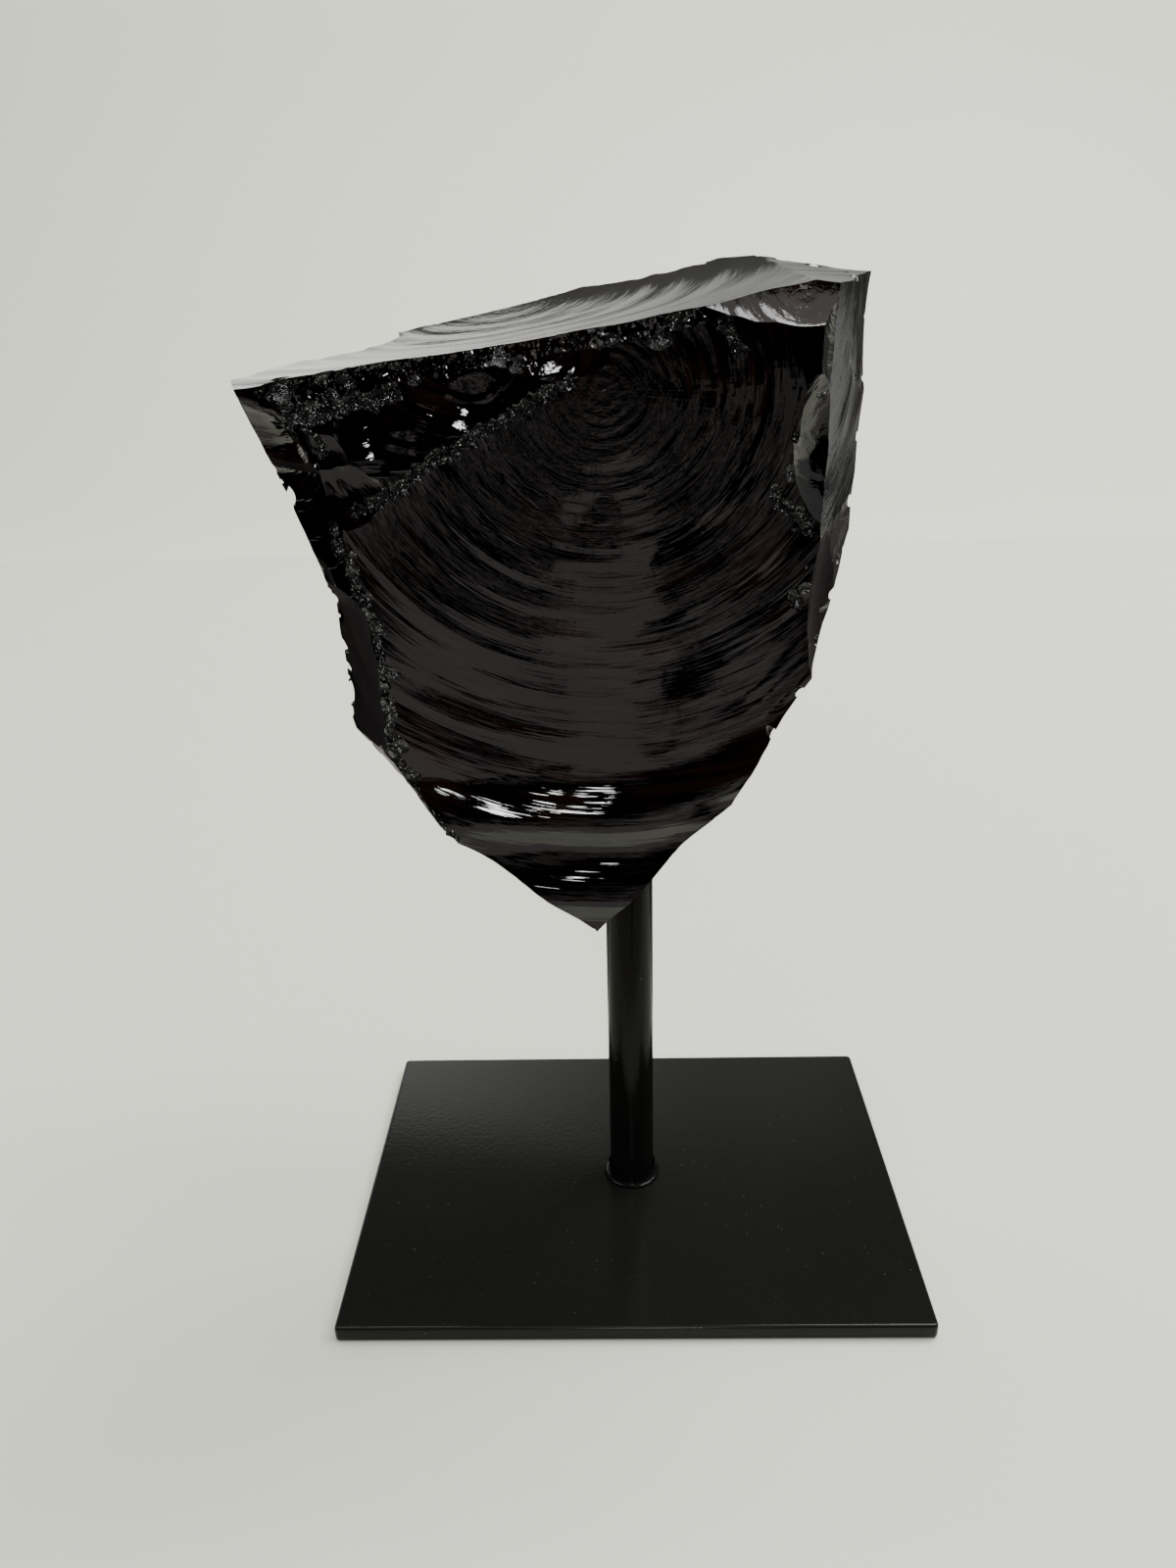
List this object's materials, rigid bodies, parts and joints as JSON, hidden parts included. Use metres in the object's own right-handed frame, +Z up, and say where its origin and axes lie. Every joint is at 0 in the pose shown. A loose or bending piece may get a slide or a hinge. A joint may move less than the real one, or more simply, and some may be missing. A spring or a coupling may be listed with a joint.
{
  "type": "obsidian chunk on a stand",
  "caption": "Knapped chunk of black volcanic glass held up on a slim painted steel post and a flat rectangular base plate.",
  "frame": {"origin": "middle of the base plate's underside, on the surface that it stands on", "axes": "+Z up along the post; -Y the side that the large rippled scar faces; +X to the viewer's right"},
  "size_m": [0.105, 0.076, 0.1665],
  "materials": {
    "black_paint": "satin black powder coat with a fine orange-peel grain",
    "obsidian": "opaque black natural glass, mirror-smooth with fine ripples, crushed and sparkling along struck edges"
  },
  "bodies": {
    "root": {"base_plate": "black_paint", "post": "black_paint", "weld_bead": "black_paint", "obsidian_chunk": "obsidian"}
  },
  "joints": []
}
